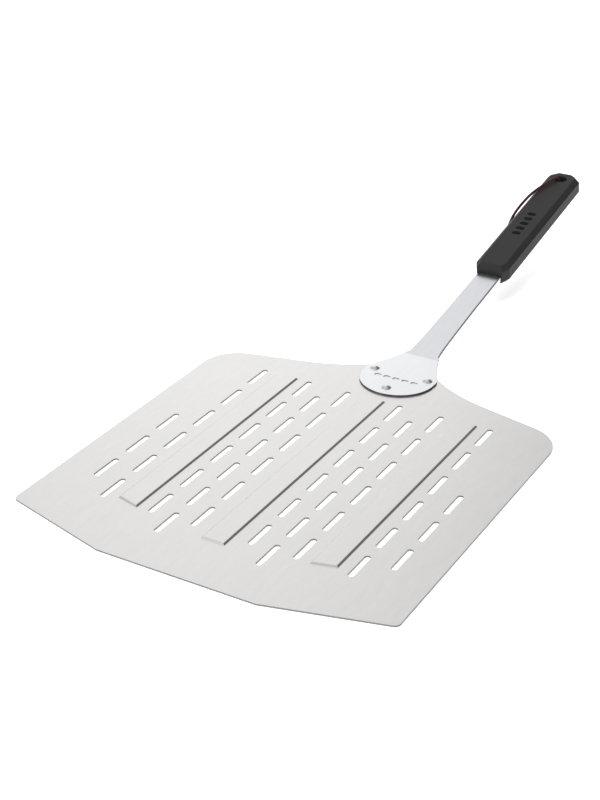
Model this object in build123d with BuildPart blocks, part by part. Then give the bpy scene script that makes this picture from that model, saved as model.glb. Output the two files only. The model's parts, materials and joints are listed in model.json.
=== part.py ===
"""Perforated pizza peel: a ribbed aluminium blade, a riveted steel neck and a two-shell grip with a cord.

Millimetres. X is across the peel, +Y runs from the blade to the grip's tail and +Z is up.
The origin is the centre of the neck's round plate, on the underside of the blade.
"""

import os
from math import asin, cos, degrees, pi, radians, sin, tan

from build123d import *

os.makedirs("parts", exist_ok=True)

# ---------------------------------------------------------------- driving dimensions

# blade
blade_t = 1.5
blade_half_w = 172.5
front_y = -366.3
front_flat_half = 71.0
side_front_y = -339.3
shoulder_y = -31.0
tongue_bend = (57.2, -3.8)
tongue_half_w = 25.2
tongue_end_y = 21.0

# slots
slot_w = 5.0
slot_l = 31.5
slot_pitch = 45.0
rows_y = -286.5
column_x = 46.2
column_step = 20.0
outer_column_x = 113.0
outer_column_step = 24.0
stagger_down = 21.2
stagger_up = 23.9

# pressed ribs
rib_w = 21.6
rib_h = 1.2
rib_run = 1.5
rib_back_y = -46.2
rib_front_y = -314.0
side_rib_front_y = -299.6
rib_bend_r = 0.8

# neck plate
plate_t = 1.5
disc_r = 35.5
bend_y = 49.0
neck_angle = 10.0
bend_r = 30.0
flare = [(disc_r, 0.0), (disc_r, 8.0), (25.0, 29.0), (19.6, 43.0)]
flare_radii = [10.0, 60.0, 60.0]
strip_along = [4.0, 9.0, 20.0, 45.0, 90.0, 162.8]
strip_half_w = [16.0, 15.3, 14.6, 13.9, 13.2, 12.8]
flange_depths = [3.4, 4.3, 5.0, 5.0, 5.0, 5.0]
flange_depth = flange_depths[-1]
flange_bend_r = 1.6
tang_half_w = 9.0

# rivets
rivet_spots = [(-27.0, 5.7), (27.0, 5.7), (0.0, -23.8)]
rivet_r = 2.0
rivet_head_r = 4.5
rivet_head_h = 2.1
rivet_tail_r = 3.2
rivet_clear = 0.05
sink_angle = 82.0

# grip
grip_start = 152.8
grip_end = 356.8
grip_half_w = 18.1
grip_half_h = 10.45
grip_chamfer = 4.7
nose_half_w = 13.8
nose_cut = 9.2
tail_cut = 9.4
corner_r = 0.9
wall = 2.8
cavity_chamfer = 2.8
grip_clear = 0.15
flange_inside = strip_along[-1] - grip_start

# grip screws
screw_at = [178.0, 240.0, 302.0]
screw_r = 1.9
screw_hole_r = 2.1
screw_head_r = 3.6
screw_head_h = 2.4
screw_sink = 2.6
screw_bite = 0.02
socket_r = 1.7
screw_tip_gap = 1.0
boss_r = 4.6
rib_t = 2.2
tang_end = 314.0

# hang hole and cord
hole_at = 340.3
hole_r = 6.0
hole_rim = 0.8
cord_d = 2.8
cord_lift = 1.95
strand = (-2.4, 1.0)
knot_wraps = 3
knot_r = 3.7
knot_groove = 0.7
tail_l = 9.0
tail_lean = 0.25

# plain recessed marks
mark_depth = 0.5
plate_mark = (6.6, 4.6)
plate_mark_at = (0.0, -4.5)
plate_mark_step = 9.2
plate_marks = 5
grip_mark = (9.5, 6.2)
grip_mark_step = 10.0
grip_marks = 5
grip_mark_at = 241.0

# ---------------------------------------------------------------- shared planes

spare = 1.0  # how far a cutting or joining shape reaches past what it meets
mid_z = blade_t + plate_t / 2
neck_plane = Plane(
    origin=(0, bend_y, mid_z),
    x_dir=(1, 0, 0),
    z_dir=(0, -sin(radians(neck_angle)), cos(radians(neck_angle))),
)


def neck(offset):
    """The neck's sloping plane, moved along its normal; local X is across and local Y runs up the neck."""
    return neck_plane.offset(offset)


def both_sides(points):
    """The points of a half outline followed by their mirror images, last to first."""
    return points + [(-x, y) for x, y in reversed(points)]


# ---------------------------------------------------------------- blade


def slot_spots():
    """Every slot's centre: three staggered columns, a full column and a short one on each side."""
    spots = []
    for side in (-1, 1):
        for step in (-1, 0, 1):
            drop = stagger_down if step == 0 else 0
            x = side * (column_x + step * column_step)
            spots += [(x, rows_y - drop + k * slot_pitch) for k in range(6)]
        spots += [(side * outer_column_x, rows_y + k * slot_pitch) for k in range(6)]
        x = side * (outer_column_x + outer_column_step)
        spots += [(x, rows_y + stagger_up + k * slot_pitch) for k in range(3)]
    return spots


def rib_outline(centre, slant, inset):
    """Corners of a rib's foot, inset all round; a side rib's front end leans with the blade's front edge."""
    half = rib_w / 2 - inset
    front = rib_front_y if centre == 0 else side_rib_front_y
    back = rib_back_y - inset
    lean = slant * half
    return [
        (centre - half, front + inset - lean),
        (centre + half, front + inset + lean),
        (centre + half, back),
        (centre - half, back),
    ]


front_slope = (side_front_y - front_y) / (blade_half_w - front_flat_half)
side_rib_x = (column_x + column_step + outer_column_x) / 2
ribs = [(-side_rib_x, -front_slope), (0.0, 0.0), (side_rib_x, front_slope)]
wall_lean = 90 - Vector(rib_run, rib_h).get_angle(Vector(1, 0))
under_inset = blade_t * tan(radians((90 - wall_lean) / 2))
half_blade = [
    (front_flat_half, front_y),
    (blade_half_w, side_front_y),
    (blade_half_w, shoulder_y),
    tongue_bend,
    (tongue_half_w, tongue_end_y),
]
half_radii = [3.0, 5.4, 36.0, 148.0, 6.0]

with BuildPart() as blade:
    with BuildSketch():
        with BuildLine():
            FilletPolyline(
                *both_sides(half_blade),
                radius=half_radii + half_radii[::-1],
                close=True,
            )
        make_face()
    extrude(amount=blade_t)
    for centre, slant in ribs:
        with BuildSketch(Plane.XY.offset(blade_t)):
            with BuildLine():
                Polyline(*rib_outline(centre, slant, 0), close=True)
            make_face()
        extrude(amount=rib_h, taper=wall_lean)
    fillet(
        blade.edges().filter_by(lambda e: e.bounding_box().max.Z > blade_t + rib_h - 0.01),
        radius=rib_bend_r,
    )
    for centre, slant in ribs:
        with BuildSketch():
            with BuildLine():
                Polyline(*rib_outline(centre, slant, under_inset), close=True)
            make_face()
        extrude(amount=rib_h, taper=wall_lean, mode=Mode.SUBTRACT)
    with BuildSketch():
        with Locations(*slot_spots()):
            SlotOverall(slot_l, slot_w, rotation=90)
    extrude(amount=blade_t, mode=Mode.SUBTRACT)
    with Locations(*[(x, y, 0) for x, y in rivet_spots]):
        with Locations(Rotation(180, 0, 0)):
            CounterSinkHole(
                rivet_r + rivet_clear,
                rivet_tail_r + rivet_clear,
                depth=blade_t,
                counter_sink_angle=sink_angle,
            )

# ---------------------------------------------------------------- neck plate


def across_neck(along):
    """The plane square to the neck at a distance from the bend; its local Y points down."""
    foot = neck_plane.from_local_coords((0, along, 0))
    return Plane(origin=foot, x_dir=(1, 0, 0), z_dir=neck_plane.y_dir)


def channel(along, half, top, foot, bend_r):
    """A filled upside-down U on the plane across the neck, its bends rounded."""
    with BuildSketch(across_neck(along)) as section:
        with BuildLine():
            turn = FilletPolyline(
                (-half, foot), (-half, top), (half, top), (half, foot), radius=bend_r
            )
            Line(turn @ 1, turn @ 0)
        make_face()
    return section.sketch


web = plate_t / 2
flange_foot = flange_depth - web
flange_end = strip_along[-1]
end_half_w = strip_half_w[-1]
strip_start_y = bend_y + strip_along[0] * cos(radians(neck_angle))
strip_start_z = mid_z + strip_along[0] * sin(radians(neck_angle))
inner_bend_r = flange_bend_r - plate_t

with BuildPart() as neck_plate:
    with BuildSketch(Plane.YZ):
        with BuildLine():
            FilletPolyline(
                (-disc_r - spare, mid_z),
                (bend_y, mid_z),
                (strip_start_y, strip_start_z),
                radius=bend_r,
            )
        trace(line_width=plate_t)
    extrude(amount=disc_r + spare, both=True)
    with BuildSketch():
        with BuildLine():
            right = FilletPolyline(*flare, (strip_half_w[0], strip_start_y), radius=flare_radii)
            left = mirror(right, about=Plane.YZ)
            ThreePointArc((-disc_r, 0), (0, -disc_r), (disc_r, 0))
            Line(right @ 1, left @ 1)
        make_face()
    extrude(amount=mid_z + strip_start_z, mode=Mode.INTERSECT)
    loft(
        [
            channel(along, half, -web, depth - web, flange_bend_r)
            for along, half, depth in zip(strip_along, strip_half_w, flange_depths)
        ],
        ruled=True,
    )
    loft(
        [
            channel(along, half - plate_t, web, flange_depth, inner_bend_r)
            for along, half in zip(strip_along, strip_half_w)
        ],
        ruled=True,
        mode=Mode.SUBTRACT,
    )
    with BuildSketch(neck(-web)):
        with Locations((0, (flange_end - spare + tang_end) / 2)):
            Rectangle(2 * tang_half_w, tang_end - flange_end + spare)
    extrude(amount=plate_t)
    with BuildSketch(neck(-web)):
        with Locations(*[(0, s) for s in screw_at]):
            Circle(screw_hole_r)
    extrude(amount=plate_t, mode=Mode.SUBTRACT)
    with BuildSketch():
        with Locations(*rivet_spots):
            Circle(rivet_r + rivet_clear)
    extrude(amount=blade_t + plate_t, mode=Mode.SUBTRACT)
    with BuildSketch(Plane.XY.offset(blade_t + plate_t)):
        with Locations(plate_mark_at):
            with GridLocations(plate_mark_step, plate_mark_step, plate_marks, 1):
                SlotOverall(*plate_mark)
    extrude(amount=-mark_depth, mode=Mode.SUBTRACT)

# ---------------------------------------------------------------- blade rivets

head_seat = blade_t + plate_t
tail_h = (rivet_tail_r - rivet_r) / tan(radians(sink_angle / 2))

dome_r = (rivet_head_r**2 + rivet_head_h**2) / (2 * rivet_head_h)
dome_turn = degrees(asin(rivet_head_r / dome_r))

with BuildPart() as rivet:
    with BuildSketch(Plane.XZ):
        with BuildLine():
            Polyline(
                (0, head_seat + rivet_head_h),
                (0, 0),
                (rivet_tail_r, 0),
                (rivet_r, tail_h),
                (rivet_r, head_seat),
                (rivet_head_r, head_seat),
            )
            CenterArc((0, head_seat + rivet_head_h - dome_r), dome_r, 90 - dome_turn, dome_turn)
        make_face()
    revolve(axis=Axis.Z)

with BuildPart() as blade_rivets:
    with Locations(*rivet_spots):
        add(rivet.part)

# ---------------------------------------------------------------- grip

grip_half_plan = [
    (nose_half_w, grip_start),
    (grip_half_w, grip_start + nose_cut),
    (grip_half_w, grip_end - tail_cut),
    (grip_half_w - tail_cut, grip_end),
]
cavity_h = grip_half_h - wall
grip_slot = {1: web + grip_clear, -1: flange_foot + grip_clear}


def shell_plane(side, offset=0.0):
    """The grip's middle plane, facing up (side 1) or down (side -1), moved out by offset."""
    normal = neck_plane.z_dir * side
    return Plane(origin=neck_plane.origin + normal * offset, x_dir=(side, 0, 0), z_dir=normal)


def grip_plan(plane, inset=0.0):
    """The grip's eight-sided plan on a plane, moved inward by inset."""
    with BuildSketch(plane) as plan:
        with BuildLine():
            Polyline(*both_sides(grip_half_plan), close=True)
        make_face()
        if inset:
            offset(amount=-inset, kind=Kind.INTERSECTION)
    return plan.sketch


def grip_shell(side):
    """One half of the grip: outer form, hollow, screw bosses, hang-hole tube and the neck's slot."""
    middle = shell_plane(side)
    straight_h = cavity_h - cavity_chamfer
    screw_spots = [(0, s) for s in screw_at]
    rib_spots = [(0, (a + b) / 2) for a, b in zip(screw_at, screw_at[1:])]
    with BuildPart() as shell:
        extrude(grip_plan(middle), amount=grip_half_h)
        outward = Axis(middle.origin, middle.z_dir)
        chamfer(shell.faces().sort_by(outward)[-1].edges(), grip_chamfer)
        parting_edges = shell.faces().sort_by(outward)[0].edges()
        fillet(shell.edges() - parting_edges, corner_r)
        extrude(grip_plan(middle, wall), amount=straight_h, mode=Mode.SUBTRACT)
        extrude(
            grip_plan(shell_plane(side, straight_h), wall),
            amount=cavity_chamfer,
            taper=45,
            mode=Mode.SUBTRACT,
        )
        with BuildSketch(shell_plane(side, web)):
            with Locations(*screw_spots):
                Circle(boss_r)
            with Locations(*rib_spots):
                Rectangle(2 * grip_half_w - wall, rib_t)
        extrude(amount=straight_h - web)
        with BuildSketch(shell_plane(side, straight_h)):
            with Locations(*screw_spots):
                Circle(boss_r)
            with Locations(*rib_spots):
                Rectangle(2 * (grip_half_w - grip_chamfer), rib_t)
        extrude(amount=cavity_chamfer + wall / 2)
        with BuildSketch(middle):
            with Locations((0, hole_at)):
                Circle(hole_r + wall)
        extrude(amount=cavity_h + wall / 2)
        with BuildSketch(middle):
            with Locations((0, hole_at)):
                Circle(hole_r)
        extrude(amount=grip_half_h, mode=Mode.SUBTRACT)
        with BuildSketch(shell_plane(side, grip_half_h)):
            with Locations((0, hole_at)):
                Circle(hole_r + hole_rim)
        extrude(amount=-hole_rim, taper=45, mode=Mode.SUBTRACT)
        with BuildSketch(middle):
            with Locations((0, grip_start + flange_inside / 2)):
                Rectangle(2 * (end_half_w + grip_clear), flange_inside + 2 * spare)
        extrude(amount=grip_slot[side], mode=Mode.SUBTRACT)
    return shell.part


with BuildPart() as grip_upper:
    add(grip_shell(1))
    with BuildSketch(shell_plane(1)):
        with Locations(*[(0, s) for s in screw_at]):
            Circle(screw_r + screw_bite)
    extrude(amount=cavity_h, mode=Mode.SUBTRACT)
    with BuildSketch(shell_plane(1, grip_half_h)):
        with Locations((0, grip_mark_at)):
            with GridLocations(grip_mark_step, grip_mark_step, 1, grip_marks):
                SlotOverall(*grip_mark)
    extrude(amount=-mark_depth, mode=Mode.SUBTRACT)

with BuildPart() as grip_lower:
    add(grip_shell(-1))
    with Locations(*[shell_plane(-1, grip_half_h).location * Pos(0, s) for s in screw_at]):
        CounterBoreHole(screw_hole_r, screw_head_r + grip_clear, screw_sink, depth=grip_half_h)

# ---------------------------------------------------------------- grip screws

head_top = grip_half_h - (screw_sink - screw_head_h)
screw_tip = cavity_h - screw_tip_gap

with BuildPart() as grip_screws:
    with BuildSketch(shell_plane(-1, head_top)):
        with Locations(*[(0, s) for s in screw_at]):
            Circle(screw_head_r)
    extrude(amount=-screw_head_h)
    with BuildSketch(shell_plane(-1, head_top - screw_head_h)):
        with Locations(*[(0, s) for s in screw_at]):
            Circle(screw_r)
    extrude(amount=-(head_top - screw_head_h + screw_tip))
    with BuildSketch(shell_plane(-1, head_top)):
        with Locations(*[(0, s) for s in screw_at]):
            RegularPolygon(socket_r, 6)
    extrude(amount=-screw_head_h / 2, mode=Mode.SUBTRACT)

# ---------------------------------------------------------------- hang cord and knot

# Places over and under the grip are in the neck's plane (across, along, up from it); the rest lie free.
exit_h = grip_half_h + cord_lift
fold_top = (strand[0], hole_at + strand[1], exit_h)
fold_foot = (strand[0], hole_at + strand[1], -exit_h)
over_grip = [
    (-22.4, 250.3, -9.1),
    (-21.6, 264.4, 1.5),
    (-19.6, 282.4, 6.8),
    (-15.2, 298.4, 12.4),
    (-9.8, 320.4, 12.8),
    fold_top,
    fold_foot,
    (-12.0, 322.3, -13.5),
    (-20.0, 300.4, -19.0),
]
rising = [
    (-23.5, 249.0, 3.9),
    (-23.5, 261.0, 2.3),
    (-23.5, 273.0, 2.2),
    (-23.4, 283.0, 9.2),
    (-23.0, 289.8, 22.4),
]
returning = [
    (-25.5, 332.1, 22.7),
    (-27.6, 317.4, 9.7),
    (-28.6, 302.4, 2.3),
    (-30.0, 285.4, 2.0),
    (-27.4, 272.4, 2.2),
    (-26.6, 261.0, 2.3),
    (-26.5, 249.0, 3.9),
]
cord_route = rising + [neck_plane.from_local_coords(place) for place in over_grip] + returning
fold_r = 6.6
share_of_run = 0.45


def turn_radii(points, tight):
    """A fillet radius for each inner corner: 0.45 of its shorter run, or the given one at a tight fold."""
    radii = []
    for k in range(1, len(points) - 1):
        before = Vector(points[k]) - Vector(points[k - 1])
        after = Vector(points[k + 1]) - Vector(points[k])
        reach = share_of_run * min(before.length, after.length)
        radius = reach / tan(radians(before.get_angle(after) / 2))
        radii.append(min(radius, tight.get(k, radius)))
    return radii


hole_corner = len(rising) + over_grip.index(fold_top)
cord_points = [Vector(p) for p in cord_route]
cord_radii = turn_radii(cord_points, {hole_corner: fold_r, hole_corner + 1: fold_r})

with BuildPart() as hang_cord:
    with BuildLine() as cord_line:
        FilletPolyline(*cord_points, radius=cord_radii)
    cord_path = cord_line.wire()
    with BuildSketch(Plane(origin=cord_path @ 0, z_dir=cord_path % 0)):
        Circle(cord_d / 2)
    sweep(path=cord_path)

knot_dir = (cord_points[0] - cord_points[1]).normalized()
knot_foot = (cord_points[0] + cord_points[-1]) / 2
knot_plane = Plane(origin=knot_foot, x_dir=(1, 0, 0), z_dir=knot_dir)

with BuildPart() as cord_knot:
    with BuildSketch(Plane(origin=knot_foot, x_dir=(1, 0, 0), z_dir=knot_plane.y_dir * -1)):
        with BuildLine():
            Line((0, 0), (knot_r - knot_groove, 0))
            for k in range(knot_wraps):
                low = (knot_r - knot_groove, k * cord_d)
                high = (knot_r - knot_groove, (k + 1) * cord_d)
                ThreePointArc(low, (knot_r, (k + 0.5) * cord_d), high)
            Line((knot_r - knot_groove, knot_wraps * cord_d), (0, knot_wraps * cord_d))
            Line((0, knot_wraps * cord_d), (0, 0))
        make_face()
    revolve(axis=Axis(knot_foot, knot_dir))
    for side in (-1, 1):
        lean = Vector(tail_lean * side, 0, 0) + knot_dir
        root = knot_foot + knot_dir * (knot_wraps - 0.5) * cord_d + Vector(side * cord_d / 2, 0, 0)
        with BuildSketch(Plane(origin=root, z_dir=lean)):
            Circle(cord_d / 2)
        extrude(amount=tail_l)

# ---------------------------------------------------------------- export

blade.part.label = "blade"
neck_plate.part.label = "neck_plate"
blade_rivets.part.label = "blade_rivets"
grip_upper.part.label = "grip_upper"
grip_lower.part.label = "grip_lower"
grip_screws.part.label = "grip_screws"
hang_cord.part.label = "hang_cord"
cord_knot.part.label = "cord_knot"

export_step(blade.part, "parts/blade.step")
export_step(neck_plate.part, "parts/neck_plate.step")
export_step(blade_rivets.part, "parts/blade_rivets.step")
export_step(grip_upper.part, "parts/grip_upper.step")
export_step(grip_lower.part, "parts/grip_lower.step")
export_step(grip_screws.part, "parts/grip_screws.step")
export_step(hang_cord.part, "parts/hang_cord.step")
export_step(cord_knot.part, "parts/cord_knot.step")

print("cord radii", [round(r, 1) for r in cord_radii])
print("cord length", round(cord_path.length, 1))
tube_volume = cord_path.length * pi * (cord_d / 2) ** 2
print("cord volume over section times length", round(hang_cord.part.volume / tube_volume, 4))
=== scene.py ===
# %% [markdown]
# # A perforated pizza peel
# The real thing is a wide sheet of satin aluminium with slots and three pressed ribs, a bright
# sprung-steel neck riveted to it, and a charcoal plastic grip with a short burgundy hang cord.
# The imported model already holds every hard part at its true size. This lesson gives each part its
# finish, lays the cord and ties its knot, and lights the whole on a pale table.
# The first cell loads the model. Everything is in metres, with +Y towards the grip and +Z up.

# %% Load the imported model
import json
from math import cos, pi, sin

import bmesh
import bpy
import numpy as np
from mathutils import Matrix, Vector


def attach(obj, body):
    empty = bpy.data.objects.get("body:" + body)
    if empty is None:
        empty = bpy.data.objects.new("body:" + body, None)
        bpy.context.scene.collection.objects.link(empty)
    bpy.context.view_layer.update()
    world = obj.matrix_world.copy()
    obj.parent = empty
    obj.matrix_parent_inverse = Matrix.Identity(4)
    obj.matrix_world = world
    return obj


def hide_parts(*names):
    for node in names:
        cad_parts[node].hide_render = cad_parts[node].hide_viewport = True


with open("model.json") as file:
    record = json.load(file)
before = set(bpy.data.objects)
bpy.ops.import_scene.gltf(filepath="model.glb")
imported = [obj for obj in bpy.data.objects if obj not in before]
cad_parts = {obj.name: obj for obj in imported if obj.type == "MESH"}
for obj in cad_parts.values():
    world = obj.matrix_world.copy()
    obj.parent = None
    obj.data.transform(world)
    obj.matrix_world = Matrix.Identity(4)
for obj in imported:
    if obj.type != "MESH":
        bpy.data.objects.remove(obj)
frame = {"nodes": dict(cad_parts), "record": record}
nodes = frame["nodes"]
scene = bpy.context.scene
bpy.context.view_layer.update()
print("CAD parts:", ", ".join(sorted(nodes)))

# %% [markdown]
# ## The camera
# A product view from the front right, about 28 degrees above the table. A long lens keeps the
# blade's far corners from shrinking, as it does in a catalogue. A wide lens from nearer would
# fit the peel in too, but stretch its front edge. A camera looks along its own -Z, so the
# direction it looks in is turned into a rotation, with its Y axis kept upright.

# %% Camera
LENS_MM = 72.16
CAMERA_PLACE = (0.5733, -1.1727, 0.6769)
LOOKS_ALONG = (-0.4407, 0.7634, -0.4723)

camera_data = bpy.data.cameras.new("product_camera")
camera_data.lens = LENS_MM
camera_data.sensor_width = 36.0
camera = bpy.data.objects.new("product_camera", camera_data)
camera.location = CAMERA_PLACE
camera.rotation_euler = Vector(LOOKS_ALONG).to_track_quat("-Z", "Y").to_euler()
scene.collection.objects.link(camera)
scene.camera = camera
print("camera lens", camera_data.lens, "mm")

# %% [markdown]
# ## The route of the hang cord
# A hang cord is a limp braid. It comes up through the grip's hole, folds over the rim, slides
# off the grip's left shoulder, drops to the table and comes back under the grip to the hole again.
# Its two ends meet in a knot on the table. A NURBS spline of order 3 draws that as one smooth
# line from a handful of points. Its order and its end rule are set after the points exist,
# because a spline can't have an order above its number of points. The points follow the packed
# cord's, but most of them aren't the same: they lie up to 1.7 mm away. The two at the fold stand
# further out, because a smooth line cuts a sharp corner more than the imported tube's fillets do
# and would run into the rim of the hole. Those down the grip's left side stand further out for
# a fuller bow, and those along the table lie half a millimetre lower.

# %% Cord route
CORD_D = 0.0028
STEPS_PER_POINT = 48
cord_route = [
    (-0.0235, 0.2490, 0.0039),
    (-0.0235, 0.2610, 0.0018),
    (-0.0235, 0.2730, 0.0017),
    (-0.0236, 0.2830, 0.0088),
    (-0.0238, 0.2898, 0.0222),
    (-0.0240, 0.2971, 0.0367),
    (-0.0232, 0.3090, 0.0500),
    (-0.0204, 0.3257, 0.0587),
    (-0.0155, 0.3406, 0.0668),
    (-0.0097, 0.3623, 0.0709),
    (-0.0024, 0.3835, 0.0751),
    (-0.0024, 0.3883, 0.0482),
    (-0.0120, 0.3688, 0.0447),
    (-0.0200, 0.3481, 0.0357),
    (-0.0255, 0.3321, 0.0227),
    (-0.0276, 0.3174, 0.0097),
    (-0.0286, 0.3024, 0.0018),
    (-0.0300, 0.2854, 0.0017),
    (-0.0274, 0.2724, 0.0017),
    (-0.0266, 0.2610, 0.0018),
    (-0.0265, 0.2490, 0.0039),
]


def spline_points(name, points, steps):
    """The places that a smooth NURBS line with these control points runs through."""
    curve = bpy.data.curves.new(name, "CURVE")
    curve.dimensions = "3D"
    curve.resolution_u = steps
    spline = curve.splines.new("NURBS")
    spline.points.add(len(points) - 1)
    for control, place in zip(spline.points, points):
        control.co = (*place, 1.0)
    spline.order_u = 3
    spline.use_endpoint_u = True
    carrier = bpy.data.objects.new(name, curve)
    scene.collection.objects.link(carrier)
    line = bpy.data.meshes.new_from_object(carrier)
    found = np.array([v.co[:] for v in line.vertices])
    bpy.data.objects.remove(carrier)
    bpy.data.meshes.remove(line)
    return found


cord_line = spline_points("cord_route", cord_route, STEPS_PER_POINT)
cord_length = float(np.linalg.norm(np.diff(cord_line, axis=0), axis=1).sum())
print("cord runs", round(cord_length, 4), "m through", len(cord_line), "points")

# %% [markdown]
# ## The braided tube
# A thin cord is braided over a core: eight yarns wind one way and eight the other, passing over
# and under each other. The yarns could be sixteen separate tubes, but at this size their
# crossings are only a shallow relief. So one tube follows the line, and its surface rises where
# a yarn lies on top and dips where it goes under. A number stored at each point of the mesh
# keeps the same height, so the material can darken the dips.

# %% Braided tube
YARNS_ROUND = 8
BRAID_PITCH = 0.0075
RELIEF = 0.00012
TUBE_SIDES = 28
END_HEIGHT = 0.5


def carried_frames(line):
    """A side and an upward direction at each place on a line, carried along without twisting."""
    ahead = np.gradient(line, axis=0)
    ahead /= np.linalg.norm(ahead, axis=1)[:, None]
    side = np.cross(ahead[0], (0.0, 0.0, 1.0))
    sides = []
    for step in ahead:
        side = side - step * (side @ step)
        side = side / np.linalg.norm(side)
        sides.append(side)
    sides = np.array(sides)
    return sides, np.cross(ahead, sides)


def braided_tube(name, line, diameter):
    """A tube round a line, with a braid's relief on it and both ends closed by a flat fan."""
    sides, ups = carried_frames(line)
    gone = np.concatenate([[0.0], np.cumsum(np.linalg.norm(np.diff(line, axis=0), axis=1))])
    turn = np.linspace(0, 2 * pi, TUBE_SIDES, endpoint=False)
    phase = 2 * pi * gone[:, None] / BRAID_PITCH
    one_way = YARNS_ROUND * turn[None, :] + YARNS_ROUND * phase
    other_way = YARNS_ROUND * turn[None, :] - YARNS_ROUND * phase
    height = 0.5 + 0.5 * np.sin(one_way / 2) * np.sin(other_way / 2)
    radius = diameter / 2 + RELIEF * height
    outwards = (
        np.cos(turn)[None, :, None] * sides[:, None, :] + np.sin(turn)[None, :, None] * ups[:, None, :]
    )
    rings = line[:, None, :] + radius[:, :, None] * outwards
    verts = np.concatenate([rings.reshape(-1, 3), line[[0, -1]]])
    count = len(line)
    faces = []
    for k in range(count - 1):
        for j in range(TUBE_SIDES):
            following = (j + 1) % TUBE_SIDES
            a, b = k * TUBE_SIDES, (k + 1) * TUBE_SIDES
            faces.append((a + j, b + j, b + following, a + following))
    first, last = count * TUBE_SIDES, count * TUBE_SIDES + 1
    for j in range(TUBE_SIDES):
        following = (j + 1) % TUBE_SIDES
        faces.append((first, j, following))
        faces.append((last, (count - 1) * TUBE_SIDES + following, (count - 1) * TUBE_SIDES + j))
    mesh = bpy.data.meshes.new(name)
    mesh.from_pydata(verts.tolist(), [], faces)
    mesh.polygons.foreach_set("use_smooth", [True] * len(faces))
    stored = mesh.attributes.new("yarn_height", "FLOAT", "POINT")
    heights = np.concatenate([height.reshape(-1), [END_HEIGHT, END_HEIGHT]])
    stored.data.foreach_set("value", heights.astype(np.float32))
    mesh.update()
    piece = bpy.data.objects.new(name, mesh)
    scene.collection.objects.link(piece)
    return piece


cord = braided_tube("hang_cord_braid", cord_line, CORD_D)
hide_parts("hang_cord")
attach(cord, "cord_loop")
print("braid has", len(cord.data.vertices), "points")

# %% [markdown]
# ## The knot
# The cord's two ends are held by a barrel knot: one end makes three turns round both, and the
# two cut tails stick out, heat-sealed so that they don't fray. A true knot could be traced over
# and under itself, but only its turns show. So they are a helix of the same braid, drawn round
# the line that the two ends share and a little flattened, and pulled a little thinner.

# %% Knot
KNOT_TURNS = 3.4
FIRST_TURN = -0.4 * pi
KNOT_FLATNESS = 1.18
KNOT_MARGIN = 0.6
TIGHT_D = CORD_D * 0.96
helix_r = CORD_D * 0.86
ends = (Vector(cord_route[0]) + Vector(cord_route[-1])) / 2
away = (Vector(cord_route[0]) - Vector(cord_route[1])).normalized()
across = Vector((1, 0, 0)) - away * away.x
across.normalize()
over = across.cross(away)
winding = []
for t in np.linspace(0, 1, 150):
    turn = 2 * pi * KNOT_TURNS * t + FIRST_TURN
    around = across * cos(turn) * KNOT_FLATNESS + over * sin(turn)
    gone = CORD_D * KNOT_MARGIN + CORD_D * (KNOT_TURNS - KNOT_MARGIN) * t
    winding.append(ends + away * gone + around * helix_r)
wraps = braided_tube("cord_knot_wraps", np.array([p[:] for p in winding]), TIGHT_D)
print("knot of", KNOT_TURNS, "turns")

# %% [markdown]
# ## The cut tails
# Each tail starts inside the knot, beside the other. On its way out it bends down under its own
# weight until it lies on the table, and the two spread apart a little, faster towards their tips.

# %% Tails
TAIL_L = 0.0085
TAIL_SPREAD = 0.0030
TAIL_SAG = 2.2
STARTS_INSIDE = CORD_D * 0.4
TABLE_GAP = 0.0002
tails = []
for side in (-1, 1):
    root = ends + across * side * CORD_D * 0.5 - away * STARTS_INSIDE
    tip_drop = Vector((0, 0, root.z - CORD_D / 2 - TABLE_GAP))
    tail = []
    for t in np.linspace(0, 1, 60):
        along = away * (CORD_D * (KNOT_TURNS + KNOT_MARGIN) + TAIL_L) * t
        spread = across * side * TAIL_SPREAD * t**2
        tail.append(root + along + spread - tip_drop * t**TAIL_SAG)
    name = f"cord_tail_{len(tails) + 1}"
    tails.append(braided_tube(name, np.array([p[:] for p in tail]), TIGHT_D))
print(len(tails), "tails")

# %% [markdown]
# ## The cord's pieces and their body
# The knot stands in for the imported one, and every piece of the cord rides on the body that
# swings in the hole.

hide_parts("cord_knot")
for piece in [wraps] + tails:
    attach(piece, "cord_loop")
print("cord of", round(cord_length, 4), "m on cord_loop")

# %% [markdown]
# ## The grip's inlaid marks
# The grip's top has five shallow recesses in a row, and each holds a jet black pad that stops
# just below the surface. A pad is a flat stadium with a softened rim. It could be a curve with
# depth, but bmesh gives a closed solid at once: an outline is filled, raised, and its top edges
# are bevelled. The pads stand square to the neck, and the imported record's hang hole says how the
# neck leans.

# %% Grip inlays
PAD_L, PAD_W, PAD_T = 0.0092, 0.0059, 0.00028
PAD_STEP = 0.010
PADS = 5
MARKS_BEFORE_HOLE = 0.0993
RECESS_FLOOR = 0.00995
RIM_SOFTENING = 0.00012
ARC_STEPS = 13
hang_hole = next(m for m in frame["record"]["mounts"] if m["name"] == "hang_hole")
hole_centre = Vector(hang_hole["pos_m"])
neck_up = Vector(hang_hole["axis"]).normalized()
neck_along = neck_up.cross(Vector((1, 0, 0)))


def neck_place(across, along, up):
    """A place in the neck's own directions, measured from the middle of the hang hole."""
    return hole_centre + Vector((1, 0, 0)) * across + neck_along * along + neck_up * up


def stadium(length, width, steps):
    """The outline of a stadium, long way across, as (x, y) pairs in order."""
    half, r = (length - width) / 2, width / 2
    right = [(half + r * cos(a), r * sin(a)) for a in np.linspace(-pi / 2, pi / 2, steps)]
    return right + [(-x, -y) for x, y in right]


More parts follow.
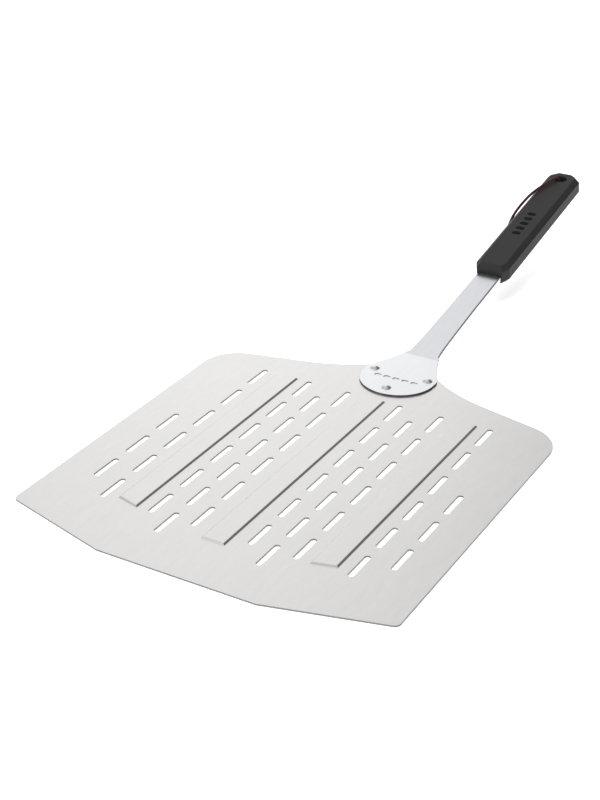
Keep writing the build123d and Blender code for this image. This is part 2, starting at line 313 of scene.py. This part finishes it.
pads = bmesh.new()
for k in range(PADS):
    along = -MARKS_BEFORE_HOLE + (k - (PADS - 1) / 2) * PAD_STEP
    outline = stadium(PAD_L, PAD_W, ARC_STEPS)
    rim = [pads.verts.new(neck_place(x, along + y, RECESS_FLOOR)) for x, y in outline]
    foot = pads.faces.new(rim)
    raised = bmesh.ops.extrude_face_region(pads, geom=[foot])["geom"]
    lifted = [v for v in raised if isinstance(v, bmesh.types.BMVert)]
    bmesh.ops.translate(pads, verts=lifted, vec=neck_up * PAD_T)
    top_edges = [e for e in raised if isinstance(e, bmesh.types.BMEdge)]
    bmesh.ops.bevel(
        pads, geom=top_edges, offset=RIM_SOFTENING, segments=2, affect="EDGES", profile=0.6
    )
bmesh.ops.recalc_face_normals(pads, faces=pads.faces)
pad_mesh = bpy.data.meshes.new("grip_inlays")
pads.to_mesh(pad_mesh)
pads.free()
grip_inlays = bpy.data.objects.new("grip_inlays", pad_mesh)
scene.collection.objects.link(grip_inlays)
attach(grip_inlays, "peel")
print(PADS, "inlays, hole at", [round(c, 4) for c in hole_centre])

# %% [markdown]
# ## Small helpers for shader nodes
# Every finish here is a node tree, and a tree built by hand in the editor can't be read as text.
# Short helpers keep the cells readable: they add a node and set its inputs, start a node group
# with its sockets named, place a group in a material, start a material, and fill a colour ramp.
# A node's place is counted in columns and rows, so the trees are also tidy to look at.

# %% Shader helpers
COLUMN_W, ROW_H = 190, 170


def add(tree, kind, place=(0, 0), values=None, **settings):
    """Adds a node, sets its properties, and sets or links its inputs."""
    made = tree.nodes.new("ShaderNode" + kind)
    made.location = (place[0] * COLUMN_W, place[1] * ROW_H)
    for key, value in settings.items():
        setattr(made, key, value)
    for key, value in (values or {}).items():
        if isinstance(value, bpy.types.NodeSocket):
            tree.links.new(value, made.inputs[key])
        else:
            made.inputs[key].default_value = value
    return made


def new_group(name, inputs, outputs):
    """A shader node group with number, vector or colour sockets, and its two end nodes."""
    group = bpy.data.node_groups.new(name, "ShaderNodeTree")
    for label, kind, value in inputs:
        socket = group.interface.new_socket(label, in_out="INPUT", socket_type="NodeSocket" + kind)
        socket.default_value = value
    for label, kind in outputs:
        group.interface.new_socket(label, in_out="OUTPUT", socket_type="NodeSocket" + kind)
    start, end = group.nodes.new("NodeGroupInput"), group.nodes.new("NodeGroupOutput")
    start.location, end.location = (-900, 0), (900, 0)
    return group, start.outputs, end.inputs


def use_group(tree, group, place, **values):
    """Places a node group in a material, with its inputs given by name."""
    made = tree.nodes.new("ShaderNodeGroup")
    made.node_tree = group
    made.location = (place[0] * COLUMN_W, place[1] * ROW_H)
    for key, value in values.items():
        socket = made.inputs[key.replace("_", " ")]
        if isinstance(value, bpy.types.NodeSocket):
            tree.links.new(value, socket)
        else:
            socket.default_value = value
    return made.outputs


def new_finish(name):
    """A node material with a Principled BSDF wired to its output, ready for a finish."""
    material = bpy.data.materials.new(name)
    material.use_nodes = True
    return material, material.node_tree, material.node_tree.nodes["Principled BSDF"]


def ramp(tree, fac, stops, place=(0, 0)):
    """A colour ramp over fac with stops of (position, colour)."""
    made = add(tree, "ValToRGB", place, {"Fac": fac})
    bands = made.color_ramp.elements
    while len(bands) < len(stops):
        bands.new(0.5)
    for band, (position, colour) in zip(bands, stops):
        band.position = position
        band.color = (*colour, 1.0)
    return made.outputs["Color"]


print("shader helpers ready")

# %% [markdown]
# ## Worn edges, with painted highlights
# Handling rubs metal and plastic brighter along their edges first. The paler edge colour is partly
# that wear and partly a painted highlight, the thin line of light that an edge catches. A Bevel node
# looks up a normal that is rounded over a small radius. Where that normal and the true one part
# company there is an edge. Some noise breaks the line up, because no edge wears evenly. Painting a
# mask by hand would work too, but this one follows the shape by itself, at whatever size it has.

# %% Edge wear and painted highlight group
edge_wear_and_highlight, given, result = new_group(
    "edge_wear_and_highlight",
    [("Radius", "Float", 0.0006), ("Gain", "Float", 2.5), ("Patches", "Float", 60.0)],
    [("Edge", "Float"), ("Normal", "Vector")],
)
rounded = add(edge_wear_and_highlight, "Bevel", (-3, 0), {"Radius": given["Radius"]}, samples=6)
true_side = add(edge_wear_and_highlight, "NewGeometry", (-3, -2))
agree = add(
    edge_wear_and_highlight,
    "VectorMath",
    (-2, 0),
    {0: rounded.outputs["Normal"], 1: true_side.outputs["Normal"]},
    operation="DOT_PRODUCT",
)
apart = add(edge_wear_and_highlight, "Math", (-1, 0), {0: 1.0, 1: agree.outputs["Value"]}, operation="SUBTRACT")
seat = add(edge_wear_and_highlight, "TexCoord", (-4, -3))
patches = add(
    edge_wear_and_highlight,
    "TexNoise",
    (-2, -3),
    {"Vector": seat.outputs["Object"], "Scale": given["Patches"], "Detail": 3.0},
)
broken = add(
    edge_wear_and_highlight, "Math", (0, -1), {0: patches.outputs["Fac"], 1: given["Gain"]}, operation="MULTIPLY"
)
# This mask lays the paler edge colour: partly real wear, partly painted highlight.
edge_mask = add(
    edge_wear_and_highlight,
    "Math",
    (1, 0),
    {0: apart.outputs[0], 1: broken.outputs[0]},
    operation="MULTIPLY",
    use_clamp=True,
)
edge_wear_and_highlight.links.new(edge_mask.outputs[0], result["Edge"])
edge_wear_and_highlight.links.new(rounded.outputs["Normal"], result["Normal"])
print("edge wear:", [s.name for s in edge_wear_and_highlight.interface.items_tree])

# %% [markdown]
# ## Drawn grain
# Rolled and brushed metal carries fine lines along one direction, and moulded plastic a fine even
# stipple. Both are noise at the right size: stretched for the lines, even for the stipple. The
# group takes a stretch for each axis and gives a tone for colour and roughness, and a height.

# %% Grain group
grain, given, result = new_group(
    "grain",
    [("Stretch", "Vector", (1.0, 1.0, 1.0)), ("Fineness", "Float", 900.0), ("Cloud", "Float", 9.0)],
    [("Tone", "Float"), ("Height", "Float"), ("Clouds", "Float")],
)
seat = add(grain, "TexCoord", (-5, 0))
spread = add(
    grain,
    "VectorMath",
    (-4, 0),
    {0: seat.outputs["Object"], 1: given["Stretch"]},
    operation="MULTIPLY",
)
fine = add(
    grain,
    "TexNoise",
    (-3, 1),
    {"Vector": spread.outputs["Vector"], "Scale": given["Fineness"], "Detail": 4.0, "Roughness": 0.65},
)
coarse_scale = add(grain, "Math", (-4, -1), {0: given["Fineness"], 1: 0.17}, operation="MULTIPLY")
coarse = add(
    grain,
    "TexNoise",
    (-3, -1),
    {"Vector": spread.outputs["Vector"], "Scale": coarse_scale.outputs[0], "Detail": 2.0},
)
tone = add(
    grain, "Math", (-1, 0), {0: fine.outputs["Fac"], 1: coarse.outputs["Fac"]}, operation="MULTIPLY"
)
tone_full = add(
    grain, "Math", (0, 0), {0: tone.outputs[0], 1: 2.0}, operation="MULTIPLY", use_clamp=True
)
clouds = add(
    grain,
    "TexNoise",
    (-3, -3),
    {"Vector": seat.outputs["Object"], "Scale": given["Cloud"], "Detail": 3.0, "Roughness": 0.55},
)
grain.links.new(tone_full.outputs[0], result["Tone"])
grain.links.new(fine.outputs["Fac"], result["Height"])
grain.links.new(clouds.outputs["Fac"], result["Clouds"])
print("grain:", [s.name for s in grain.interface.items_tree])

# %% [markdown]
# ## Sheared sides, with painted shade
# Sheet metal is cut by a punch or a laser, and its cut sides come out darker and rougher than its
# rolled faces. The dark tint laid on them here is partly that and partly painted shade, the shadow
# inside the slots and along the cut edges. A cut side here is any face that stands almost upright,
# so the mask is read from the normal's up part, and it fades in over a few degrees. The neck's
# folded flanges stand upright too but are rolled faces, so the mask stops at a given place along the
# peel.

# %% Sheared side and painted shade group
sheared, given, result = new_group(
    "sheared_side_and_shade",
    [("Steepness", "Float", 0.35), ("Ends At", "Float", 1.0)],
    [("Cut And Shade", "Float")],
)
seat = add(sheared, "TexCoord", (-4, 0))
parts = add(sheared, "SeparateXYZ", (-3, 0), {"Vector": seat.outputs["Normal"]})
upness = add(sheared, "Math", (-2, 0), {0: parts.outputs["Z"]}, operation="ABSOLUTE")
# Mask of upright faces: real cut sides, and where painted shade is laid on their walls.
cut_and_shade = add(
    sheared,
    "MapRange",
    (-1, 0),
    {
        "Value": upness.outputs[0],
        "From Min": given["Steepness"],
        "From Max": 0.1,
        "To Min": 0.0,
        "To Max": 1.0,
    },
)
place = add(sheared, "SeparateXYZ", (-3, -2), {"Vector": seat.outputs["Object"]})
short_of_end = add(
    sheared, "Math", (-1, -2), {0: place.outputs["Y"], 1: given["Ends At"]}, operation="LESS_THAN"
)
kept = add(
    sheared, "Math", (0, 0), {0: cut_and_shade.outputs["Result"], 1: short_of_end.outputs[0]}, operation="MULTIPLY"
)
sheared.links.new(kept.outputs[0], result["Cut And Shade"])
print("sheared side:", [s.name for s in sheared.interface.items_tree])

# %% [markdown]
# ## Fine scuffs
# Metal that slides over stone and racks gathers thin scuffs, mostly along the way it is pushed.
# Stretched noise gives long streaks, and a narrow band of its values keeps only a few of them.
# A second, broad noise masks them again, so they come in patches.

# %% Scuff group
scuffs, given, result = new_group(
    "scuffs",
    [("Stretch", "Vector", (1.0, 0.03, 1.0)), ("Fineness", "Float", 420.0), ("Amount", "Float", 0.5)],
    [("Scuff", "Float")],
)
seat = add(scuffs, "TexCoord", (-5, 0))
lean = add(scuffs, "Mapping", (-4, 0), {"Vector": seat.outputs["Object"], "Rotation": (0, 0, 0.22)})
spread = add(
    scuffs, "VectorMath", (-3, 0), {0: lean.outputs[0], 1: given["Stretch"]}, operation="MULTIPLY"
)
streaks = add(
    scuffs, "TexNoise", (-2, 0), {"Vector": spread.outputs[0], "Scale": given["Fineness"], "Detail": 1.0}
)
few = add(
    scuffs,
    "MapRange",
    (-1, 0),
    {"Value": streaks.outputs["Fac"], "From Min": 0.66, "From Max": 0.74},
)
where = add(
    scuffs, "TexNoise", (-2, -2), {"Vector": seat.outputs["Object"], "Scale": 14.0, "Detail": 2.0}
)
patch = add(
    scuffs, "MapRange", (-1, -2), {"Value": where.outputs["Fac"], "From Min": 0.45, "From Max": 0.7}
)
both = add(scuffs, "Math", (0, 0), {0: few.outputs[0], 1: patch.outputs[0]}, operation="MULTIPLY")
scaled = add(scuffs, "Math", (1, 0), {0: both.outputs[0], 1: given["Amount"]}, operation="MULTIPLY")
scuffs.links.new(scaled.outputs[0], result["Scuff"])
print("scuffs:", [s.name for s in scuffs.interface.items_tree])

# %% [markdown]
# ## How a metal finish is put together
# The blade, the neck, the rivets and the screws are all bare metal, and differ in tint, in grain
# and in how glossy they are. One function wires the groups into a metal, and each part calls it
# with its own numbers. The cut sides get a darker tint, partly real and partly painted shade, the
# edges a brighter one, partly real wear and partly painted highlight, and the grain moves both
# colour and roughness a little and stands up as a very shallow bump.

# %% Metal finish
def mixed(tree, fac, a, b, place):
    """Colour b laid over colour a by fac; either may be a socket or a plain colour."""
    made = add(tree, "Mix", place, data_type="RGBA")
    for key, value in (("Factor_Float", fac), ("A_Color", a), ("B_Color", b)):
        socket = next(s for s in made.inputs if s.identifier == key)
        if isinstance(value, bpy.types.NodeSocket):
            tree.links.new(value, socket)
        else:
            socket.default_value = (*value, 1.0) if hasattr(value, "__len__") else value
    return next(s for s in made.outputs if s.identifier == "Result_Color")


def metal_finish(
    name, dark, light, cut_and_shade, worn_and_highlight, stretch, fineness, rough, scuff, relief, edge_r, cut_ends=1.0
):
    """A bare metal: grained between two tints, with cut sides darkened partly by painted shade, edges
    brightened by wear and painted highlight, and scuffs.
    """
    material, tree, shader = new_finish(name)
    lines = use_group(tree, grain, (-6, 2), Stretch=stretch, Fineness=fineness, Cloud=8.0)
    edges = use_group(tree, edge_wear_and_highlight, (-6, -1), Radius=edge_r, Gain=5.0, Patches=90.0)
    sides = use_group(tree, sheared, (-6, -3), Steepness=0.4, Ends_At=cut_ends)
    marks = use_group(tree, scuffs, (-6, -5), Fineness=420.0, Amount=scuff)
    face = mixed(tree, lines["Tone"], dark, light, (-4, 2))
    # Painted shade: cut sides and slot walls take the dark cut tint, partly real cut, partly shadow
    # painted in.
    shaded = mixed(tree, sides["Cut And Shade"], face, cut_and_shade, (-3, 2))
    # Painted highlight: edges take the pale worn tint, partly real wear, partly the light that edges
    # catch.
    rubbed_and_highlit = mixed(tree, edges["Edge"], shaded, worn_and_highlight, (-2, 2))
    scratched = mixed(tree, marks["Scuff"], rubbed_and_highlit, worn_and_highlight, (-1, 2))
    tree.links.new(scratched, shader.inputs["Base Color"])
    low, high = rough
    base_rough = add(
        tree,
        "MapRange",
        (-4, 0),
        {"Value": lines["Tone"], "From Min": 0.1, "From Max": 0.9, "To Min": low, "To Max": high},
    )
    cloudy = add(
        tree,
        "Math",
        (-3, 0),
        {0: lines["Clouds"], 1: 0.05, 2: base_rough.outputs[0]},
        operation="MULTIPLY_ADD",
    )
    matt_sides = add(
        tree,
        "Math",
        (-2, 0),
        {0: sides["Cut And Shade"], 1: 0.18, 2: cloudy.outputs[0]},
        operation="MULTIPLY_ADD",
    )
    tree.links.new(matt_sides.outputs[0], shader.inputs["Roughness"])
    bump = add(
        tree,
        "Bump",
        (-2, -2),
        {"Height": lines["Height"], "Normal": edges["Normal"], "Strength": 0.5, "Distance": relief},
    )
    tree.links.new(bump.outputs["Normal"], shader.inputs["Normal"])
    shader.inputs["Metallic"].default_value = 1.0
    return material


print("metal finish ready")

# %% [markdown]
# ## The blade
# The blade is rolled aluminium with a satin finish: pale, a little warm, with a short grain along
# the blade. Its slots and outline are punched, so their walls are darker than the faces; their dark
# tint is also painted shade, the shadow inside the slots. Its edges are paler, partly from wear and
# partly as a painted highlight. A plain grey metal would be quicker, but a big flat sheet looks
# like plastic film without grain.

# %% Blade finish
satin_blade = metal_finish(
    "satin_blade_aluminium",
    dark=(0.775, 0.768, 0.755),
    light=(0.845, 0.838, 0.825),
    # Dark cut tint: partly the real punched wall, partly painted shade inside the slots.
    cut_and_shade=(0.22, 0.218, 0.215),
    # Pale worn tint: partly real wear, partly painted highlight along the edges.
    worn_and_highlight=(0.95, 0.945, 0.935),
    stretch=(1.0, 0.22, 1.0),
    fineness=1100.0,
    rough=(0.25, 0.30),
    scuff=0.22,
    relief=0.00003,
    edge_r=0.0004,
)
print(satin_blade.name)

# %% [markdown]
# ## The neck, the rivets and the screws
# The neck is rolled steel, bluer and smoother than the blade. The rivets are turned and polished
# a little by their setting tool, and the hidden screws are plain zinc-coated steel. They could
# share one material, but metals side by side are told apart by just these small differences.

# %% Neck, rivet and screw finishes
smooth_neck = metal_finish(
    "smooth_neck_steel",
    dark=(0.79, 0.80, 0.82),
    light=(0.86, 0.87, 0.89),
    # Near-black cut tint: partly the real cut, partly painted shade along the neck plate's cut edges.
    cut_and_shade=(0.10, 0.10, 0.105),
    # Pale worn tint: partly real wear, partly painted highlight.
    worn_and_highlight=(0.97, 0.975, 0.98),
    stretch=(1.0, 0.12, 1.0),
    fineness=1600.0,
    rough=(0.18, 0.23),
    scuff=0.25,
    relief=0.000012,
    edge_r=0.0005,
    cut_ends=0.050,
)
# Here too the cut tint is partly painted shade and the worn tint partly painted highlight.
set_rivets = metal_finish(
    "set_rivet_metal",
    dark=(0.74, 0.745, 0.755),
    light=(0.88, 0.885, 0.895),
    cut_and_shade=(0.50, 0.50, 0.51),
    worn_and_highlight=(0.97, 0.97, 0.97),
    stretch=(1.0, 1.0, 1.0),
    fineness=2600.0,
    rough=(0.20, 0.28),
    scuff=0.3,
    relief=0.00001,
    edge_r=0.0004,
)
# Here too the cut tint is partly painted shade and the worn tint partly painted highlight.
zinc_screws = metal_finish(
    "zinc_screw_steel",
    dark=(0.42, 0.43, 0.45),
    light=(0.62, 0.63, 0.64),
    cut_and_shade=(0.40, 0.41, 0.42),
    worn_and_highlight=(0.85, 0.86, 0.87),
    stretch=(1.0, 1.0, 1.0),
    fineness=1800.0,
    rough=(0.32, 0.45),
    scuff=0.2,
    relief=0.00002,
    edge_r=0.0003,
)
print(smooth_neck.name, set_rivets.name, zinc_screws.name)

# %% [markdown]
# ## The grip
# The grip is moulded in charcoal plastic with a spark-eroded stipple that hides fingerprints. It
# is nearly black, a little shiny at grazing angles, and paler along its edges, partly from rubbing
# and partly as a painted highlight. A picture of the stipple could be laid over it, but noise has
# no seams and needs no unwrapping.

# %% Grip finish
moulded_grip, tree, shader = new_finish("moulded_grip_plastic")
stipple = use_group(tree, grain, (-6, 2), Stretch=(1.0, 1.0, 1.0), Fineness=2600.0, Cloud=22.0)
edges = use_group(tree, edge_wear_and_highlight, (-6, -1), Radius=0.0007, Gain=4.0, Patches=130.0)
resin = mixed(tree, stipple["Tone"], (0.017, 0.017, 0.0175), (0.035, 0.035, 0.036), (-4, 2))
hazed = mixed(tree, stipple["Clouds"], resin, (0.026, 0.026, 0.027), (-3, 2))
# Painted highlight along the edges, on top of real rubbing.
handled_and_highlit = mixed(tree, edges["Edge"], hazed, (0.070, 0.070, 0.073), (-2, 2))
tree.links.new(handled_and_highlit, shader.inputs["Base Color"])
stipple_rough = add(
    tree,
    "MapRange",
    (-4, 0),
    {"Value": stipple["Tone"], "From Min": 0.1, "From Max": 0.9, "To Min": 0.48, "To Max": 0.62},
)
tree.links.new(stipple_rough.outputs[0], shader.inputs["Roughness"])
bump = add(
    tree,
    "Bump",
    (-2, -2),
    {"Height": stipple["Height"], "Normal": edges["Normal"], "Strength": 0.6, "Distance": 0.00006},
)
tree.links.new(bump.outputs["Normal"], shader.inputs["Normal"])
shader.inputs["Specular IOR Level"].default_value = 0.18
print(moulded_grip.name)

# %% [markdown]
# ## The inlays
# The pads are the same plastic, jet black and duller than the grip, with faint wiping marks.
# They could share the grip's material with a darker tint, but their wear is finer: a hand
# reaches only their rims. The paler rims are partly that wear and partly a painted highlight.

# %% Inlay finish
dark_inlay, tree, shader = new_finish("dark_inlay_black")
wipes = use_group(tree, grain, (-6, 2), Stretch=(1.0, 0.3, 1.0), Fineness=900.0, Cloud=160.0)
edges = use_group(tree, edge_wear_and_highlight, (-6, -1), Radius=0.0002, Gain=3.0, Patches=300.0)
jet = mixed(tree, wipes["Clouds"], (0.003, 0.003, 0.003), (0.008, 0.008, 0.0085), (-4, 2))
# Paler rims: partly real wear, partly painted highlight.
rimmed_and_highlit = mixed(tree, edges["Edge"], jet, (0.05, 0.05, 0.052), (-2, 2))
tree.links.new(rimmed_and_highlit, shader.inputs["Base Color"])
wiped = add(tree, "MapRange", (-4, 0), {"Value": wipes["Tone"], "To Min": 0.45, "To Max": 0.60})
tree.links.new(wiped.outputs[0], shader.inputs["Roughness"])
tree.links.new(edges["Normal"], shader.inputs["Normal"])
shader.inputs["Specular IOR Level"].default_value = 0.05
print(dark_inlay.name)

# %% [markdown]
# ## The cord's yarn
# The cord is burgundy polyester. Where the relief dips between yarns less light gets in, so the
# stored height darkens it there. A little sheen stands for the loose fibres, and a fine noise
# breaks up each yarn.

# %% Cord finish
braided_yarn, tree, shader = new_finish("braided_cord_yarn")
height = add(tree, "Attribute", (-6, 1), attribute_name="yarn_height")
fibres = use_group(tree, grain, (-6, -1), Stretch=(1.0, 1.0, 1.0), Fineness=5200.0, Cloud=60.0)
yarn = ramp(
    tree,
    height.outputs["Fac"],
    [(0.0, (0.012, 0.002, 0.003)), (0.45, (0.045, 0.006, 0.009)), (1.0, (0.105, 0.016, 0.022))],
    (-4, 1),
)
fuzzy = mixed(tree, fibres["Tone"], yarn, (0.060, 0.010, 0.014), (-2, 1))
tree.links.new(fuzzy, shader.inputs["Base Color"])
yarn_rough = add(
    tree, "MapRange", (-4, -1), {"Value": fibres["Tone"], "To Min": 0.62, "To Max": 0.88}
)
tree.links.new(yarn_rough.outputs[0], shader.inputs["Roughness"])
bump = add(tree, "Bump", (-2, -2), {"Height": fibres["Height"], "Strength": 0.5, "Distance": 0.00005})
tree.links.new(bump.outputs["Normal"], shader.inputs["Normal"])
shader.inputs["Sheen Weight"].default_value = 0.2
shader.inputs["Sheen Tint"].default_value = (0.60, 0.20, 0.20, 1.0)
shader.inputs["Sheen Roughness"].default_value = 0.4
print(braided_yarn.name)

# %% [markdown]
# ## Dressing the parts
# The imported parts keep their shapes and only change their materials. Each is made of one stuff,
# so its old slots are cleared and one finish takes their place; slots for single faces aren't
# needed. The cord's pieces are new meshes, and they take the yarn the same way.

# %% Dress the parts
finishes = {
    "blade": satin_blade,
    "neck_plate": smooth_neck,
    "blade_rivets": set_rivets,
    "grip_upper": moulded_grip,
    "grip_lower": moulded_grip,
    "grip_screws": zinc_screws,
}
for node, finish in finishes.items():
    nodes[node].data.materials.clear()
    nodes[node].data.materials.append(finish)
for piece in [cord, wraps] + tails:
    piece.data.materials.append(braided_yarn)
grip_inlays.data.materials.append(dark_inlay)
print("dressed", len(finishes), "parts and", 2 + len(tails), "cord pieces")

# %% [markdown]
# ## The table
# The peel lies on a plain white table, a single large face just below it, so that the two don't
# flicker into each other. The table glows a little by itself. That keeps it white right up to the
# peel, with hardly a shadow, as in a light tent where the white comes from every side.

# %% Table
TABLE_HALF = 7.0
TABLE_Z = -0.0002
TABLE_GLOW = 0.57
table_mesh = bpy.data.meshes.new("table_top")
corners = ((-1, -1), (1, -1), (1, 1), (-1, 1))
table_mesh.from_pydata(
    [(x * TABLE_HALF, y * TABLE_HALF, TABLE_Z) for x, y in corners],
    [],
    [(0, 1, 2, 3)],
)
table_top = bpy.data.objects.new("table_top", table_mesh)
scene.collection.objects.link(table_top)
white_table, tree, shader = new_finish("white_table")
shader.inputs["Base Color"].default_value = (0.92, 0.92, 0.92, 1.0)
shader.inputs["Roughness"].default_value = 0.9
shader.inputs["Specular IOR Level"].default_value = 0.1
shader.inputs["Emission Color"].default_value = (1.0, 1.0, 1.0, 1.0)
shader.inputs["Emission Strength"].default_value = TABLE_GLOW
table_mesh.materials.append(white_table)
print("table", 2 * TABLE_HALF, "m wide")

# %% [markdown]
# ## The surroundings
# Bare metal shows what stands round it more than what shines on it, so the surroundings matter
# most. They could be cards on stands, but a world shader does the same with a few soft patches.
# It is pale, brightest at the back left, round where the blade's faces look from the camera,
# fairly bright above that, where the neck's rising strip looks, and dark at the back right, which
# draws the dark lines along the ribs and the neck's fold. A bright patch high at the front left
# adds light to the faces turned that way. The camera itself sees plain white instead.

# %% Surroundings
world = bpy.data.worlds.new("soft_studio")
world.use_nodes = True
scene.world = world
tree = world.node_tree
backdrop = tree.nodes["Background"]
heading = add(tree, "TexCoord", (-7, 0))


def glow(direction, reach, place):
    """1 towards a direction, fading to 0 at reach, given as the cosine of the angle away from it."""
    aim = add(
        tree,
        "VectorMath",
        place,
        {0: heading.outputs["Generated"], 1: Vector(direction).normalized()[:]},
        operation="DOT_PRODUCT",
    )
    return add(
        tree,
        "MapRange",
        (place[0] + 1, place[1]),
        {"Value": aim.outputs["Value"], "From Min": reach, "From Max": 1.0},
        interpolation_type="SMOOTHSTEP",
    ).outputs[0]


PALE_GREY = (0.6, 0.6, 0.606)
BRIGHT = (1.23, 1.23, 1.23)
UPPER_WHITE = (0.92, 0.92, 0.93)
KEY_WHITE = (2.2, 2.2, 2.2)
DARK_GREY = (0.15, 0.15, 0.155)
bright_side = glow((-0.500, 0.805, 0.312), 0.93, (-6, 1))
dark_side = glow((0.52, 0.66, 0.54), 0.55, (-6, -1))
upper_side = glow((-0.40, 0.50, 0.77), 0.89, (-6, 3))
key_side = glow((-0.45, -0.68, 0.58), 0.93, (-6, 5))
pale = mixed(tree, bright_side, PALE_GREY, BRIGHT, (-3, 0))
raised = mixed(tree, upper_side, pale, UPPER_WHITE, (-2, 1))
keyed = mixed(tree, key_side, raised, KEY_WHITE, (-2, 2))
shade = mixed(tree, dark_side, keyed, DARK_GREY, (-2, 0))
seen = add(tree, "LightPath", (-3, 2))
plain = mixed(tree, seen.outputs["Is Camera Ray"], shade, (1.0, 1.0, 1.0), (-1, 0))
tree.links.new(plain, backdrop.inputs["Color"])
backdrop.inputs["Strength"].default_value = 1.0
print("surroundings with 4 soft patches")

# %% [markdown]
# ## The overhead light
# A wide soft box hangs above and to the left, and only brightens the table and the plastic. A
# small lamp would do that too, but with hard shadows. It is hidden from glossy reflections, so
# the metal doesn't mirror it. The Standard view keeps the white table white.

# %% Overhead light
SOFTBOX_SIZE = 2.6
SOFTBOX_WATTS = 42.0
SOFTBOX_PLACE = (-0.7, 0.1, 2.1)
SOFTBOX_AIM = (0, 0.05, 0)
overhead_data = bpy.data.lights.new("overhead_softbox", "AREA")
overhead_data.shape = "RECTANGLE"
overhead_data.size = SOFTBOX_SIZE
overhead_data.size_y = SOFTBOX_SIZE
overhead_data.energy = SOFTBOX_WATTS
overhead = bpy.data.objects.new("overhead_softbox", overhead_data)
overhead.location = SOFTBOX_PLACE
downwards = Vector(SOFTBOX_AIM) - overhead.location
overhead.rotation_euler = downwards.to_track_quat("-Z", "Y").to_euler()
overhead.visible_glossy = False
scene.collection.objects.link(overhead)
scene.view_settings.view_transform = "Standard"
print("overhead light", overhead_data.energy, "W")
